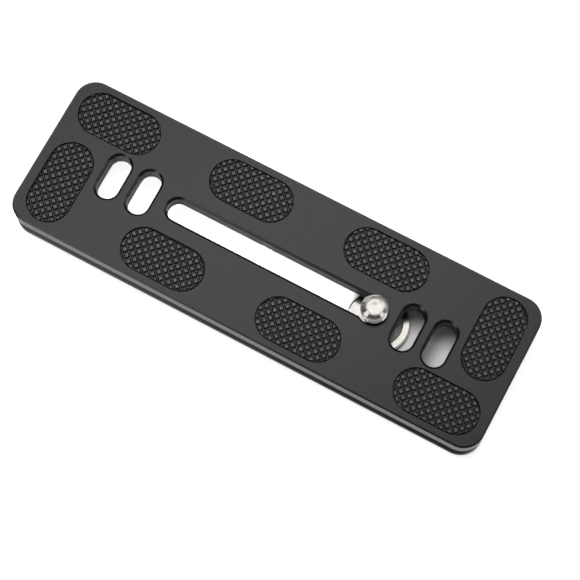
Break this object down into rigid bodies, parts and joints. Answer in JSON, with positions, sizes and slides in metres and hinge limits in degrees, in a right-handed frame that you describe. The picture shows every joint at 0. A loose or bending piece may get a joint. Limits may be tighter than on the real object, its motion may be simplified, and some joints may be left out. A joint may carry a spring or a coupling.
{
  "type": "tripod quick release plate",
  "caption": "Long metal dovetail plate with studded rubber pads, cross slots and a captive camera screw that slides in a long slot.",
  "frame": {"origin": "middle of the plate's length and width, on the surface that it lies on", "axes": "+X along the plate towards the end where the camera screw rests, +Y across it, +Z out of the face that the camera sits on"},
  "size_m": [0.12, 0.038, 0.0131],
  "materials": {
    "anodised_metal": "matt dark grey anodised",
    "pad_rubber": "moulded square studs, dull black",
    "screw_steel": "bright nickel plated, turned"
  },
  "bodies": {
    "plate_body": {"plate": "anodised_metal", "rubber_pad_1": "pad_rubber", "rubber_pad_2": "pad_rubber", "rubber_pad_3": "pad_rubber", "rubber_pad_4": "pad_rubber", "rubber_pad_5": "pad_rubber", "rubber_pad_6": "pad_rubber", "rubber_pad_7": "pad_rubber", "rubber_pad_8": "pad_rubber"},
    "screw_body": {"camera_screw": "screw_steel"},
    "ring_body": {"pull_ring": "screw_steel"}
  },
  "joints": [
    {"name": "screw_slide", "type": "slide", "parent": "plate_body", "child": "screw_body", "axis": [-1, 0, 0], "range_m": [0, 0.0506]},
    {"name": "ring_fold", "type": "hinge", "parent": "screw_body", "child": "ring_body", "pos_m": [0.0255, 0, 0.0012], "axis": [0, 1, 0], "range_deg": [0, 180]}
  ]
}
